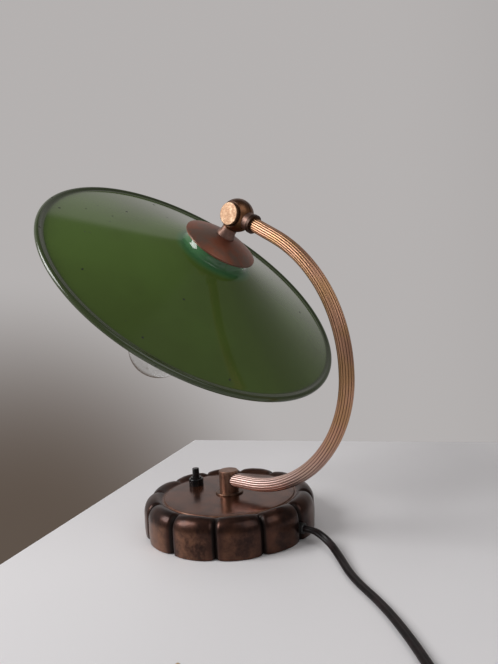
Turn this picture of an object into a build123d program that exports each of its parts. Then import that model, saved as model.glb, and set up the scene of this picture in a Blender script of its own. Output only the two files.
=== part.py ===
from build123d import *
from math import cos, pi, radians, sin, tan
import os

# Desk lamp with an enamelled shade. Millimetres, +Z up, the origin in the middle of the
# base's resting face. The arm and the shade's axis lie in the plane X = 0, the arm leans
# back to +Y, and the shade hangs over the switch at -Y.

# Base shell, pressed from sheet
base_radius = 75.0
base_height = 30.5
foot_radius = 72.1
shoulder_radius = 8.0
disc_radius = 57.3
disc_height = 28.5
moat_depth = 1.0
lobe_inner_radius = 61.0
lobe_count = 12
lobe_phase = 2.0
lobe_edge_radius = 3.0
groove_width = 2.0
groove_floor_radius = 70.3
groove_floor_bend = 6.0
base_sheet = 1.2
rim_lift = 0.5

# Under the base
felt_thickness = 1.5
plate_thickness = 1.0
plate_radius = 68.5
ballast_radius = 62.0
ballast_thickness = 12.0
boss_radius = 16.0
nut_pocket_radius = 11.0
nut_pocket_depth = 15.0
wire_groove_width = 7.0
wire_groove_depth = 7.0
cord_notch_width = 10.0
cord_notch_floor = 6.3
cord_notch_inner = 37.0

# Post and the threaded tube that clamps the base together
post_radius = 8.5
post_height = 18.4
collar_radius = 12.3
collar_thickness = 1.5
pipe_radius = 5.0
pipe_bore_radius = 3.3
pipe_clearance = 0.2
wall_gap = 0.5
pipe_foot = 11.7
nut_across_flats = 15.0
nut_thickness = 4.0
washer_radius = 9.5
washer_thickness = 1.3

# Arm, a reeded tube
arm_radius = 6.0
reed_count = 18
reed_depth = 0.55
arm_bore_radius = 4.3
arm_foot_height = 40.3
arm_foot_start = 3.6
arm_reach = 123.3
lower_bend = 97.0
upper_bend = 125.0
upper_bend_height = 140.0
upper_turn = 58.36
upper_run = 43.32
arm_clearance = 0.05
flex_radius = 2.5
flex_bend = 6.0

# Ball knuckle, turning about X
ball_radius = 14.0
ball_half_width = 8.9
ball_gap = 0.6
ball_clearance = 0.4
ball_cavity_radius = 9.6
hub_radius = 4.8
cheek_thickness = 2.4
socket_radius = 7.5
socket_end = 20.4
socket_lip_radius = 8.1
socket_lip_length = 2.8
socket_depth = 5.1
screw_radius = 2.5
screw_clearance = 0.05
head_radius = 9.6
head_thickness = 2.85
knuckle_nut_radius = 7.8
head_gap = 0.15
friction_disc_thickness = 0.4

# Shade and canopy, along the axis that starts at the knuckle
shade_tilt = 44.75
neck_radius = 6.6
neck_foot_radius = 8.2
neck_end = 21.0
neck_flare = 5.0
canopy_radius = 33.2
canopy_rim = 30.2
canopy_lip = 1.2
canopy_sheet = 0.8
shade_top = 28.4
shade_top_radius = 25.5
shade_neck_radius = 27.5
shade_shoulder_bend = 6.0
shade_neck_bend = 8.0
shade_skirt_start = 39.2
shade_radius = 145.0
shade_rim = 72.0
shade_sheet = 0.9
rim_bead_radius = 2.5

# Lamp holder, with the screw size of a common household bulb
spacer_radius = 7.5
shade_pipe_end = 50.0
lock_nut_thickness = 3.0
holder_start = 44.0
holder_radius = 19.5
holder_cap_length = 17.0
holder_end = 103.5
holder_wall = 1.6
insert_length = 11.0
lamp_thread_radius = 13.0
lamp_clearance = 0.25
thread_sheet = 0.5
contact_gap = 0.3

# Bulb
bulb_tip = 186.5
bulb_radius = 30.0
bulb_glass = 0.8
bulb_neck_radius = 13.6
bulb_neck_end = 118.0
lamp_cap_start = 82.0
lamp_cap_length = 25.0
lamp_cap_wall = 0.4
filament_radius = 0.5
filament_span = 11.0

# Push switch in the base
switch_y = -41.6
switch_body_radius = 11.0
switch_body_length = 15.0
switch_neck_radius = 5.0
switch_neck_length = 7.5
switch_collar_radius = 6.75
switch_collar_height = 7.8
switch_crown_radius = 4.9
switch_crown_height = 1.3
button_radius = 3.15
button_height = 8.0
button_travel = 3.0
button_clearance = 0.25
spring_radius = 2.3
spring_wire = 0.6
spring_pitch = 1.0
spring_turns = 3

# Cord
cord_diameter = 6.0
cord_bush_radius = 4.2
cord_bush_flange = 5.6
cord_bush_inner = 65.5
cord_bush_outer = 77.0
cord_height = 11.0
cord_floor = 3.1
coil_centre = (158.5, 237.5)
coil_inner_radius = 21.0
coil_outer_radius = 45.0
coil_top_inner = 24.0
coil_top_outer = 42.0
coil_layer = 6.2
coil_entry_angle = 149.0
coil_exit_angle = -9.0
coil_slack = 0.3
cut_back_angle = 45.0

# Plug
plug_length = 34.0
plug_width = 35.0
plug_thickness = 13.7
plug_tail_width = 13.0
plug_straight = 15.0
plug_relief_length = 20.0
plug_relief_radius = 4.8
pin_radius = 2.0
pin_length = 19.0
pin_spacing = 18.6

os.makedirs("parts", exist_ok=True)

inner_disc = disc_height - base_sheet
plate_top = felt_thickness + plate_thickness
ballast_top = plate_top + ballast_thickness
post_foot = disc_height + collar_thickness

# The arm's centre line in Y and Z: two bends, then a straight run into the knuckle.
lower_centre = (arm_reach - lower_bend, arm_foot_height + lower_bend)
upper_centre = (arm_reach - upper_bend, upper_bend_height)
arm_rise = radians(upper_turn)
upper_end = (upper_centre[0] + upper_bend * cos(arm_rise), upper_centre[1] + upper_bend * sin(arm_rise))
# Unit way from the knuckle down the arm.
arm_way = (sin(arm_rise), -cos(arm_rise))
knuckle_y = upper_end[0] - upper_run * arm_way[0]
knuckle_z = upper_end[1] - upper_run * arm_way[1]
knuckle = (0, knuckle_y, knuckle_z)
# Unit way along the shade's axis, away from the knuckle, in Y and Z.
shade_way = (-sin(radians(shade_tilt)), -cos(radians(shade_tilt)))


def along(way, distance):
    """Point this far from the knuckle, in X, Y and Z."""
    return (0, knuckle_y + distance * way[0], knuckle_z + distance * way[1])


def across(way, distance):
    """Plane square to a way from the knuckle, this far along it."""
    return Plane(origin=along(way, distance), x_dir=(1, 0, 0), z_dir=(0, *way))


def section(way):
    """Plane for turned profiles: x is the radius, y the distance from the knuckle."""
    return Plane(origin=knuckle, x_dir=(1, 0, 0), z_dir=(0, -way[1], way[0]))


shade_axis = Axis(origin=knuckle, direction=(0, *shade_way))
shade_section = section(shade_way)


def export(piece, name):
    """Label a finished piece and write it as one STEP file."""
    piece.label = name
    export_step(piece, f"parts/{name}.step")


# ---------------------------------------------------------------- base shell

lobe_pitch = 360 / lobe_count
shoulder_r = base_radius - shoulder_radius
shoulder_z = base_height - shoulder_radius
moat_height = disc_height - moat_depth


def lobed_form(inset):
    """The base's lobed body, with every face moved inwards by inset."""
    bottom = rim_lift - inset
    moat = moat_height - inset
    floor_radius = groove_floor_radius - inset
    bend = groove_floor_bend - inset

    # One lobe: a slice of a turned ring, trimmed to its two straight grooves.
    with BuildPart() as lobe:
        with BuildSketch(Plane.XZ):
            with BuildLine():
                widest = (base_radius - inset, shoulder_z)
                crown = (shoulder_r, base_height - inset)
                foot = (foot_radius - inset, bottom)
                root = (lobe_inner_radius, moat - base_sheet / 2)
                TangentArc(widest, foot, tangent=(0, -1))
                CenterArc((shoulder_r, shoulder_z), shoulder_radius - inset, 0, 90)
                TangentArc(crown, root, tangent=(-1, 0))
                Polyline(root, (root[0], bottom), foot)
            make_face()
        revolve(axis=Axis.Z, revolution_arc=lobe_pitch)
        half = lobe_pitch / 2
        apex = (groove_width / 2 + inset) / sin(radians(half))
        reach = 2 * base_radius
        with BuildSketch(Plane.XY.rotated((0, 0, half))):
            with BuildLine():
                Polyline((apex, 0), (apex + reach * cos(radians(half)), reach * sin(radians(half))),
                         (apex + reach * cos(radians(half)), -reach * sin(radians(half))), close=True)
            make_face()
        extrude(amount=base_radius, both=True, mode=Mode.INTERSECT)
        sides = lobe.faces().filter_by(GeomType.PLANE).filter_by(lambda f: abs(f.normal_at().Z) < 0.01)
        rims = sides.edges().filter_by(GeomType.LINE, reverse=True)
        fillet(rims, lobe_edge_radius - inset)

    # The floor between the lobes and the flat disc in the middle.
    with BuildPart() as form:
        with BuildSketch(Plane.XZ):
            with BuildLine():
                bend_r = groove_floor_radius - groove_floor_bend
                bend_z = moat_height - groove_floor_bend
                Polyline((0, disc_height - inset), (0, bottom), (floor_radius, bottom),
                         (floor_radius, bend_z))
                CenterArc((bend_r, bend_z), bend, 0, 90)
                Polyline((bend_r, moat), (disc_radius - inset, moat),
                         (disc_radius - inset, disc_height - inset), (0, disc_height - inset))
            make_face()
        revolve(axis=Axis.Z)
        with PolarLocations(0, lobe_count, start_angle=lobe_phase):
            add(lobe.part)
    return form.part


groove_angle = lobe_phase + 90
cord_side = Plane.XY.rotated((0, 0, groove_angle))
# Plane across the cord's way out of the base, at any distance from the middle.
across_cord = Plane(origin=(0, 0, cord_height), x_dir=(-sin(radians(groove_angle)), cos(radians(groove_angle)), 0),
                    z_dir=(cos(radians(groove_angle)), sin(radians(groove_angle)), 0))

outer_form = lobed_form(0)
inner_form = lobed_form(base_sheet)

with BuildPart() as base_shell:
    add(outer_form)
    add(inner_form, mode=Mode.SUBTRACT)
    with Locations((0, 0, disc_height)):
        Hole(pipe_radius + pipe_clearance, depth=2 * base_sheet)
    with Locations((0, switch_y, disc_height)):
        Hole(switch_neck_radius + pipe_clearance, depth=2 * base_sheet)
    with BuildSketch(across_cord.offset(cord_bush_inner)):
        Circle(cord_bush_radius + arm_clearance)
    extrude(amount=base_radius - cord_bush_inner + 1, mode=Mode.SUBTRACT)

export(base_shell.part, "base_shell")

# ---------------------------------------------------------------- under the base

with BuildPart() as felt_pad:
    Cylinder(plate_radius, felt_thickness, align=(Align.CENTER, Align.CENTER, Align.MIN))

export(felt_pad.part, "felt_pad")

with BuildPart() as bottom_plate:
    with BuildSketch(Plane.XY.offset(felt_thickness)):
        Circle(plate_radius)
    extrude(amount=plate_thickness)

export(bottom_plate.part, "bottom_plate")

# A cast disc with a boss that reaches up to the shell, a pocket for the clamp nut, one for
# the switch, a groove for the arm's wire below and a notch for the cord above.
with BuildPart() as ballast:
    with BuildSketch(Plane.XY.offset(plate_top)):
        Circle(ballast_radius)
    extrude(amount=ballast_thickness)
    fillet(ballast.edges().filter_by(GeomType.CIRCLE).sort_by(Axis.Z)[-1], 2)
    with BuildSketch(Plane.XY.offset(plate_top)):
        Circle(boss_radius)
    extrude(amount=inner_disc - plate_top)
    with BuildSketch(Plane.XY.offset(plate_top)):
        Circle(nut_pocket_radius)
    extrude(amount=nut_pocket_depth, mode=Mode.SUBTRACT)
    with Locations((0, 0, inner_disc)):
        Hole(pipe_radius + pipe_clearance, depth=inner_disc - plate_top)
    with BuildSketch(Plane.XY.offset(plate_top)):
        with Locations((0, switch_y)):
            Circle(switch_body_radius + 1)
    extrude(amount=ballast_thickness, mode=Mode.SUBTRACT)
    with BuildSketch(Plane.XY.offset(plate_top)):
        with Locations((0, switch_y / 2)):
            Rectangle(wire_groove_width, -switch_y)
    extrude(amount=wire_groove_depth, mode=Mode.SUBTRACT)
    with BuildSketch(cord_side.offset(cord_notch_floor)):
        with Locations(((cord_notch_inner + base_radius) / 2, 0)):
            Rectangle(base_radius - cord_notch_inner, cord_notch_width)
    extrude(amount=ballast_thickness, mode=Mode.SUBTRACT)

export(ballast.part, "ballast")

# ---------------------------------------------------------------- post and its clamp

pipe_top = arm_foot_height - arm_radius - 2 * pipe_clearance

with BuildPart() as post_collar:
    with BuildSketch(Plane.XY.offset(disc_height)):
        Circle(collar_radius)
        Circle(pipe_radius + pipe_clearance, mode=Mode.SUBTRACT)
    extrude(amount=collar_thickness)
    fillet(post_collar.edges().filter_by(GeomType.CIRCLE).group_by(Axis.Z)[-1].sort_by(SortBy.RADIUS)[-1], 1)

export(post_collar.part, "post_collar")

with BuildPart() as post:
    with BuildSketch(Plane.XY.offset(post_foot)):
        Circle(post_radius)
    extrude(amount=post_height)
    chamfer(post.edges().filter_by(GeomType.CIRCLE).sort_by(Axis.Z)[-1], 0.6)
    with BuildSketch(Plane.XY.offset(post_foot)):
        Circle(pipe_radius + arm_clearance)
    extrude(amount=pipe_top + arm_clearance - post_foot, mode=Mode.SUBTRACT)
    with BuildSketch(Plane.XY.offset(post_foot)):
        Circle(pipe_bore_radius)
    extrude(amount=arm_foot_height + pipe_bore_radius - post_foot, mode=Mode.SUBTRACT)
    with BuildSketch(Plane.XZ):
        with Locations((0, arm_foot_height)):
            Circle(arm_radius + arm_clearance)
    extrude(amount=-2 * post_radius, mode=Mode.SUBTRACT)

export(post.part, "post")

with BuildPart() as clamp_pipe:
    with BuildSketch(Plane.XY.offset(pipe_foot)):
        Circle(pipe_radius)
        Circle(pipe_bore_radius, mode=Mode.SUBTRACT)
    extrude(amount=pipe_top - pipe_foot)

export(clamp_pipe.part, "clamp_pipe")

washer_top = plate_top + nut_pocket_depth

with BuildPart() as clamp_washer:
    with BuildSketch(Plane.XY.offset(washer_top - washer_thickness)):
        Circle(washer_radius)
        Circle(pipe_radius + pipe_clearance, mode=Mode.SUBTRACT)
    extrude(amount=washer_thickness)

export(clamp_washer.part, "clamp_washer")

with BuildPart() as clamp_nut:
    with BuildSketch(Plane.XY.offset(washer_top - washer_thickness - nut_thickness)):
        RegularPolygon(nut_across_flats / 2, 6, major_radius=False)
        Circle(pipe_radius + arm_clearance, mode=Mode.SUBTRACT)
    extrude(amount=nut_thickness)

export(clamp_nut.part, "clamp_nut")

# ---------------------------------------------------------------- arm


def arm_bends(end):
    """The arm's centre line from its lower bend to this distance from the knuckle."""
    CenterArc(lower_centre, lower_bend, -90, 90)
    Line((arm_reach, lower_centre[1]), (arm_reach, upper_bend_height))
    CenterArc(upper_centre, upper_bend, 0, upper_turn)
    Line(upper_end, along(arm_way, end)[1:])


tube_end = socket_end - socket_depth
bend_start = (lower_centre[0], arm_foot_height)

with BuildLine(Plane.YZ) as arm_path:
    Line((arm_foot_start, arm_foot_height), bend_start)
    arm_bends(tube_end)

with BuildPart() as arm_tube:
    with BuildSketch(Plane(origin=(0, arm_foot_start, arm_foot_height), x_dir=(1, 0, 0), z_dir=(0, 1, 0))):
        with BuildLine():
            corners = []
            for k in range(2 * reed_count):
                radius = arm_radius - reed_depth * (k % 2)
                turn = radians(180 * k / reed_count)
                corners.append((radius * cos(turn), radius * sin(turn)))
            Polyline(*corners, close=True)
        make_face()
        Circle(arm_bore_radius, mode=Mode.SUBTRACT)
    sweep(path=arm_path.line)

export(arm_tube.part, "arm_tube")

# The wire inside the arm: out of the switch, under the ballast, up the pipe and along the bore.
switch_foot = inner_disc - switch_body_length
flex_floor = plate_top + flex_radius + wall_gap

with BuildLine(Plane.YZ) as flex_path:
    FilletPolyline((switch_y, switch_foot), (switch_y, flex_floor), (0, flex_floor), (0, arm_foot_height),
                   bend_start, radius=flex_bend)
    arm_bends(ball_radius + ball_clearance)

with BuildPart() as arm_flex:
    with BuildSketch(Plane(origin=(0, switch_y, switch_foot), z_dir=(0, 0, -1))):
        Circle(flex_radius)
    sweep(path=flex_path.line)

export(arm_flex.part, "arm_flex")

# ---------------------------------------------------------------- knuckle

screw_section = Plane.XZ.offset(-knuckle_y)
screw_axis = Axis(origin=knuckle, direction=(1, 0, 0))
mating_face = ball_gap / 2
flat_radius = (ball_radius ** 2 - ball_half_width ** 2) ** 0.5


def ball_half(side):
    """Half of the hollow ball, on one side of the middle, with its hub for the screw."""
    face = side * mating_face
    flat = side * ball_half_width
    bulge = (side * ball_radius * sin(radians(25)), knuckle_z + ball_radius * cos(radians(25)))
    with BuildPart() as half:
        with BuildSketch(screw_section):
            with BuildLine():
                top = knuckle_z + (ball_radius ** 2 - mating_face ** 2) ** 0.5
                Polyline((face, top), (face, knuckle_z), (flat, knuckle_z), (flat, knuckle_z + flat_radius))
                ThreePointArc((flat, knuckle_z + flat_radius), bulge, (face, top))
            make_face()
            with BuildLine():
                cheek = side * (ball_half_width - cheek_thickness)
                Polyline((face, knuckle_z + hub_radius), (face, knuckle_z + ball_cavity_radius),
                         (cheek, knuckle_z + ball_cavity_radius), (cheek, knuckle_z + hub_radius), close=True)
            make_face(mode=Mode.SUBTRACT)
        revolve(axis=screw_axis)
    return half.part


def turning_space(side):
    """Space kept clear for the other half of the ball, seen from the half on this side."""
    face = side * mating_face
    reach = ball_radius + ball_clearance
    with BuildPart() as space:
        with BuildSketch(screw_section):
            with BuildLine():
                top = knuckle_z + (reach ** 2 - mating_face ** 2) ** 0.5
                middle = (-side * reach * sin(radians(45)), knuckle_z + reach * cos(radians(45)))
                Polyline((-side * reach, knuckle_z), (face, knuckle_z), (face, top))
                ThreePointArc((face, top), middle, (-side * reach, knuckle_z))
            make_face()
        revolve(axis=screw_axis)
    return space.part


def turned(way, corners):
    """Solid of a closed outline of (radius, distance) corners turned about a way from the knuckle."""
    with BuildPart() as piece:
        with BuildSketch(section(way)):
            with BuildLine():
                Polyline(*corners, close=True)
            make_face()
        revolve(axis=Axis(origin=knuckle, direction=(0, *way)))
    return piece.part


socket = turned(arm_way, [(0, 0), (socket_radius, 0), (socket_radius, socket_end - socket_lip_length),
                          (socket_lip_radius, socket_end - socket_lip_length),
                          (socket_lip_radius, socket_end), (0, socket_end)])
neck = turned(shade_way, [(0, 0), (neck_radius, 0), (neck_radius, neck_end - neck_flare),
                          (neck_foot_radius, neck_end - neck_flare / 4), (neck_foot_radius, neck_end),
                          (0, neck_end)])
arm_side_ball = ball_half(-1)
shade_side_ball = ball_half(1)
arm_side_space = turning_space(-1)
shade_side_space = turning_space(1)
wire_bore = flex_radius + wall_gap

with BuildPart() as knuckle_arm_half:
    add(socket)
    add(arm_side_space, mode=Mode.SUBTRACT)
    add(arm_side_ball)
    with BuildSketch(across(arm_way, tube_end)):
        Circle(arm_radius + arm_clearance)
    extrude(amount=2 * socket_depth, mode=Mode.SUBTRACT)
    with BuildSketch(across(arm_way, hub_radius + mating_face)):
        Circle(wire_bore)
    extrude(amount=socket_end, mode=Mode.SUBTRACT)
    with BuildSketch(Plane.YZ):
        with Locations((knuckle_y, knuckle_z)):
            Circle(screw_radius + screw_clearance)
    extrude(amount=2 * ball_radius, both=True, mode=Mode.SUBTRACT)

export(knuckle_arm_half.part, "knuckle_arm_half")

with BuildPart() as knuckle_shade_half:
    add(neck)
    add(shade_side_space, mode=Mode.SUBTRACT)
    add(shade_side_ball)
    with BuildSketch(across(shade_way, ball_radius + ball_clearance)):
        Circle(pipe_radius + arm_clearance)
    extrude(amount=neck_end, mode=Mode.SUBTRACT)
    with BuildSketch(across(shade_way, hub_radius + mating_face)):
        Circle(wire_bore)
    extrude(amount=neck_end, mode=Mode.SUBTRACT)
    with BuildSketch(Plane.YZ):
        with Locations((knuckle_y, knuckle_z)):
            Circle(screw_radius + screw_clearance)
    extrude(amount=2 * ball_radius, both=True, mode=Mode.SUBTRACT)

export(knuckle_shade_half.part, "knuckle_shade_half")

# The screw's round head lies over the shade's half, its nut on the arm's half.
head_face = ball_half_width + head_gap

with BuildPart() as knuckle_screw:
    with BuildSketch(Plane.YZ.offset(head_face)):
        with Locations((knuckle_y, knuckle_z)):
            Circle(head_radius)
    extrude(amount=head_thickness)
    fillet(knuckle_screw.edges().sort_by(Axis.X)[-1], 0.8)
    with BuildSketch(Plane.YZ.offset(head_face)):
        with Locations((knuckle_y, knuckle_z)):
            Circle(screw_radius)
    extrude(amount=-(head_face + ball_half_width + head_thickness / 2))

export(knuckle_screw.part, "knuckle_screw")

with BuildPart() as knuckle_nut:
    with BuildSketch(Plane.YZ.offset(-ball_half_width)):
        with Locations((knuckle_y, knuckle_z)):
            Circle(knuckle_nut_radius)
    extrude(amount=-(head_thickness + head_gap))
    fillet(knuckle_nut.edges().sort_by(Axis.X)[0], 0.8)
    with BuildSketch(Plane.YZ.offset(-ball_half_width)):
        with Locations((knuckle_y, knuckle_z)):
            Circle(screw_radius + screw_clearance)
    extrude(amount=-(head_thickness / 2 + head_gap), mode=Mode.SUBTRACT)

export(knuckle_nut.part, "knuckle_nut")

# The friction disc stays on the arm's hub, between the two halves.
with BuildPart() as friction_disc:
    with BuildSketch(Plane.YZ.offset(-mating_face)):
        with Locations((knuckle_y, knuckle_z)):
            Circle(hub_radius)
            Circle(screw_radius + screw_clearance, mode=Mode.SUBTRACT)
    extrude(amount=friction_disc_thickness)

export(friction_disc.part, "friction_disc")

# ---------------------------------------------------------------- shade and canopy

canopy_under = neck_end + canopy_sheet

with BuildPart() as canopy:
    with BuildSketch(shade_section):
        with BuildLine():
            brow = (canopy_radius, canopy_rim - canopy_lip)
            Line((pipe_radius + pipe_clearance, neck_end), (neck_foot_radius, neck_end))
            TangentArc(brow, (neck_foot_radius, neck_end), tangent=(-0.9, -0.44))
            Line(brow, (canopy_radius, canopy_rim))
            offset(amount=canopy_sheet, side=Side.LEFT)
        make_face()
    revolve(axis=shade_axis)

export(canopy.part, "canopy")

with BuildPart() as shade_spacer:
    with BuildSketch(across(shade_way, canopy_under)):
        Circle(spacer_radius)
        Circle(pipe_radius + pipe_clearance, mode=Mode.SUBTRACT)
    extrude(amount=shade_top - canopy_under)

export(shade_spacer.part, "shade_spacer")

# A shallow enamelled cone with a drawn shoulder under the canopy and a rolled edge.
with BuildPart() as shade:
    with BuildSketch(shade_section):
        with BuildLine():
            bead_centre = (shade_radius - rim_bead_radius, shade_rim)
            FilletPolyline((pipe_radius + pipe_clearance, shade_top), (shade_top_radius, shade_top),
                           (shade_neck_radius, shade_skirt_start), bead_centre,
                           radius=(shade_shoulder_bend, shade_neck_bend))
            offset(amount=shade_sheet, side=Side.LEFT)
        make_face()
        with Locations(bead_centre):
            Circle(rim_bead_radius)
    revolve(axis=shade_axis)

export(shade.part, "shade")

with BuildPart() as shade_pipe:
    with BuildSketch(across(shade_way, ball_radius + ball_clearance)):
        Circle(pipe_radius)
        Circle(pipe_bore_radius, mode=Mode.SUBTRACT)
    extrude(amount=shade_pipe_end - ball_radius - ball_clearance)

export(shade_pipe.part, "shade_pipe")

with BuildPart() as shade_nut:
    with BuildSketch(across(shade_way, shade_top + shade_sheet)):
        RegularPolygon(nut_across_flats / 2, 6, major_radius=False)
        Circle(pipe_radius + arm_clearance, mode=Mode.SUBTRACT)
    extrude(amount=lock_nut_thickness)

export(shade_nut.part, "shade_nut")

# ---------------------------------------------------------------- lamp holder and bulb

insert_start = holder_start + holder_cap_length + 1
insert_end = insert_start + insert_length
sleeve_inner = holder_radius - holder_wall
thread_inner = lamp_thread_radius + lamp_clearance
thread_outer = thread_inner + thread_sheet
holder_joint = holder_start + holder_cap_length

with BuildPart() as shade_flex:
    with BuildSketch(across(shade_way, ball_radius + ball_clearance)):
        Circle(flex_radius)
    extrude(amount=insert_start - ball_radius - ball_clearance)

export(shade_flex.part, "shade_flex")

with BuildPart() as holder_cap:
    with BuildSketch(shade_section):
        with BuildLine():
            thread = pipe_radius + arm_clearance
            FilletPolyline((thread, holder_start), (spacer_radius + 1, holder_start),
                           (spacer_radius + 1, shade_pipe_end), (holder_radius, holder_joint - 4),
                           (holder_radius, holder_joint), radius=(1, 2, 3))
            Polyline((holder_radius, holder_joint), (sleeve_inner, holder_joint),
                     (sleeve_inner, holder_joint - 3), (spacer_radius, shade_pipe_end + 2 * holder_wall),
                     (thread, shade_pipe_end + 2 * holder_wall), (thread, holder_start))
        make_face()
    revolve(axis=shade_axis)

export(holder_cap.part, "holder_cap")

holder_sleeve = turned(shade_way, [
    (sleeve_inner, holder_joint), (holder_radius, holder_joint), (holder_radius, holder_end),
    (thread_outer + wall_gap, holder_end), (thread_outer + wall_gap, holder_end - holder_wall),
    (sleeve_inner, holder_end - holder_wall)])
export(holder_sleeve, "holder_sleeve")

# Porcelain insert, held by the sleeve, with the threaded shell and the middle contact on it.
holder_insert = turned(shade_way, [
    (0, insert_start), (sleeve_inner, insert_start), (sleeve_inner, insert_end), (0, insert_end)])
export(holder_insert, "holder_insert")

shell_end = holder_end - holder_wall - 1
thread_shell = turned(shade_way, [
    (thread_inner - 3, insert_end), (thread_outer, insert_end), (thread_outer, shell_end),
    (thread_inner, shell_end), (thread_inner, insert_end + thread_sheet),
    (thread_inner - 3, insert_end + thread_sheet)])
export(thread_shell, "thread_shell")

tip_face = lamp_cap_start - 3.5
middle_contact = turned(shade_way, [
    (0, insert_end), (1.5, insert_end), (1.5, tip_face - contact_gap - 1), (4, tip_face - contact_gap - 1),
    (4, tip_face - contact_gap), (0, tip_face - contact_gap)])
export(middle_contact, "middle_contact")

# The bulb: threaded cap, black glass insulator, solder tip, clear envelope, stem and filament.
cap_bore = lamp_thread_radius - lamp_cap_wall
lamp_cap_end = lamp_cap_start + lamp_cap_length
lamp_cap = turned(shade_way, [
    (cap_bore - 3, lamp_cap_start), (lamp_thread_radius, lamp_cap_start + 2), (lamp_thread_radius, lamp_cap_end),
    (cap_bore, lamp_cap_end), (cap_bore, lamp_cap_start + 3), (cap_bore - 3, lamp_cap_start + 1)])
export(lamp_cap, "lamp_cap")

lamp_insulator = turned(shade_way, [
    (0, tip_face + 1), (5, tip_face + 1), (cap_bore - 3, lamp_cap_start), (cap_bore - 3, lamp_cap_start + 1),
    (0, lamp_cap_start + 1)])
export(lamp_insulator, "lamp_insulator")

lamp_tip = turned(shade_way, [(0, tip_face), (3.5, tip_face), (4.8, tip_face + 1), (0, tip_face + 1)])
export(lamp_tip, "lamp_tip")

bulb_centre = bulb_tip - bulb_radius
glass_start = lamp_cap_start + 6
glass_neck = cap_bore - lamp_clearance / 2
swell = radians(58)


def bulb_form(inset, start):
    """Solid inside the bulb's envelope, with its wall moved inwards by inset."""
    ball = bulb_radius - inset
    joint = (ball * sin(swell), bulb_centre - ball * cos(swell))
    with BuildPart() as form:
        with BuildSketch(shade_section):
            with BuildLine():
                Polyline((0, start), (glass_neck - inset, start), (glass_neck - inset, lamp_cap_end))
                Spline((glass_neck - inset, lamp_cap_end), (bulb_neck_radius - inset, bulb_neck_end), joint,
                       tangents=((0, 1), (cos(swell), sin(swell))))
                ThreePointArc(joint, (ball, bulb_centre), (0, bulb_centre + ball))
                Line((0, bulb_centre + ball), (0, start))
            make_face()
        revolve(axis=shade_axis)
    return form.part


envelope = bulb_form(0, glass_start)
envelope_inside = bulb_form(bulb_glass, glass_start - 1)

with BuildPart() as lamp_glass:
    add(envelope)
    add(envelope_inside, mode=Mode.SUBTRACT)

export(lamp_glass.part, "lamp_glass")

stem_end = bulb_neck_end + 10
stem_rim = glass_neck - bulb_glass
lamp_stem = turned(shade_way, [
    (0, glass_start), (stem_rim, glass_start), (stem_rim, glass_start + 1), (4, glass_start + 12),
    (3, stem_end - 3), (3, stem_end), (0, stem_end)])
export(lamp_stem, "lamp_stem")

filament_height = bulb_centre - 8

with BuildPart() as lamp_filament:
    with BuildLine(shade_section) as filament_line:
        FilletPolyline((-2, stem_end + wall_gap), (-filament_span, filament_height),
                       (filament_span, filament_height), (2, stem_end + wall_gap), radius=2)
    with BuildSketch(Plane(origin=filament_line.line @ 0, z_dir=filament_line.line % 0)):
        Circle(filament_radius)
    sweep(path=filament_line.line)

export(lamp_filament.part, "lamp_filament")

# ---------------------------------------------------------------- push switch

stem_bore = button_radius + button_clearance
collar_top = disc_height + switch_collar_height
button_top = collar_top + button_height
stem_foot = inner_disc - switch_body_length / 5
flange_thickness = 1.5
flange_radius = button_radius + 1
spring_floor = stem_foot - flange_thickness - button_travel - spring_turns * spring_pitch - spring_wire

with BuildPart() as switch_body:
    with BuildSketch(Plane.XY.offset(switch_foot)):
        with Locations((0, switch_y)):
            Circle(switch_body_radius)
    extrude(amount=switch_body_length)
    with BuildSketch(Plane.XY.offset(inner_disc)):
        with Locations((0, switch_y)):
            Circle(switch_neck_radius)
    extrude(amount=switch_neck_length)
    with BuildSketch(Plane.XY.offset(spring_floor)):
        with Locations((0, switch_y)):
            Circle(stem_bore)
    extrude(amount=2 * switch_body_length, mode=Mode.SUBTRACT)
    with BuildSketch(Plane.XY.offset(spring_floor)):
        with Locations((0, switch_y)):
            Circle(flange_radius + button_clearance)
    extrude(amount=stem_foot + button_clearance - spring_floor, mode=Mode.SUBTRACT)

export(switch_body.part, "switch_body")

with BuildPart() as switch_collar:
    with BuildSketch(Plane.XY.offset(disc_height)):
        with Locations((0, switch_y)):
            Circle(switch_collar_radius)
    extrude(amount=switch_collar_height - switch_crown_height)
    fillet(switch_collar.edges().sort_by(Axis.Z)[-1], 1)
    with BuildSketch(Plane.XY.offset(disc_height)):
        with Locations((0, switch_y)):
            Circle(switch_crown_radius)
    extrude(amount=switch_collar_height)
    with BuildSketch(Plane.XY.offset(disc_height)):
        with Locations((0, switch_y)):
            Circle(switch_neck_radius + arm_clearance)
    extrude(amount=inner_disc + switch_neck_length + arm_clearance - disc_height, mode=Mode.SUBTRACT)
    with BuildSketch(Plane.XY.offset(disc_height)):
        with Locations((0, switch_y)):
            Circle(stem_bore)
    extrude(amount=switch_collar_height, mode=Mode.SUBTRACT)

export(switch_collar.part, "switch_collar")

with BuildPart() as push_button:
    with BuildSketch(Plane.XY.offset(stem_foot - flange_thickness)):
        with Locations((0, switch_y)):
            Circle(button_radius)
    extrude(amount=button_top - stem_foot + flange_thickness)
    fillet(push_button.edges().sort_by(Axis.Z)[-1], 0.6)
    with BuildSketch(Plane.XY.offset(stem_foot - flange_thickness)):
        with Locations((0, switch_y)):
            Circle(flange_radius)
    extrude(amount=flange_thickness)

export(push_button.part, "push_button")

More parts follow.
